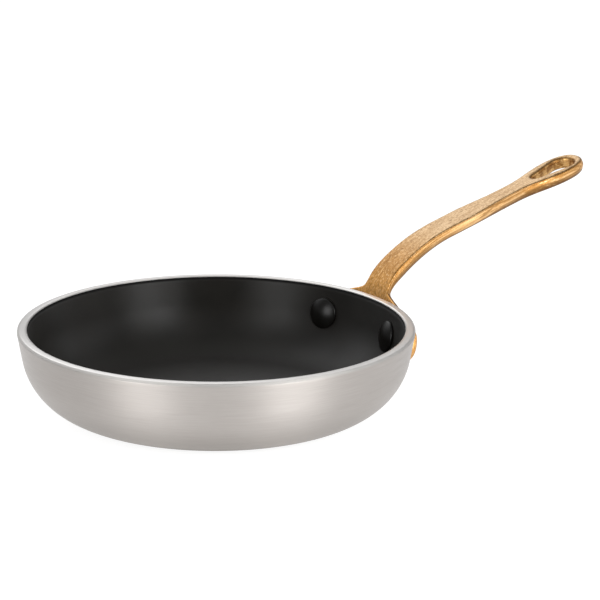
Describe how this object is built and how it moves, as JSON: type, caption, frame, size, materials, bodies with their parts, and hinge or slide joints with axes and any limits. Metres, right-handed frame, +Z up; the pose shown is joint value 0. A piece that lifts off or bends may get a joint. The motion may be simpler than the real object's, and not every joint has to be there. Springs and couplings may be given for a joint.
{
  "type": "omelette pan",
  "caption": "Shallow round pan with a leaning wall, a black non-stick lining and a riveted bronze strap handle that ends in a hanging eye.",
  "frame": {"origin": "centre of the flat resting face under the base", "axes": "+Z up out of the pan's mouth, +X out along the handle, +Y to the left seen from the pan towards the handle's tip"},
  "size_m": [0.3412, 0.1994, 0.0997],
  "materials": {
    "aluminium": "brushed round the body, bright on the machined rim",
    "nonstick": "satin black film",
    "bronze": "satin cast bronze with fine lengthwise grinding marks",
    "rivet": "satin"
  },
  "bodies": {
    "root": {"pan_body": "aluminium", "nonstick_lining": "nonstick", "handle": "bronze", "rivet_left": "rivet", "rivet_right": "rivet", "rivet_coat_left": "nonstick", "rivet_coat_right": "nonstick"}
  },
  "joints": []
}
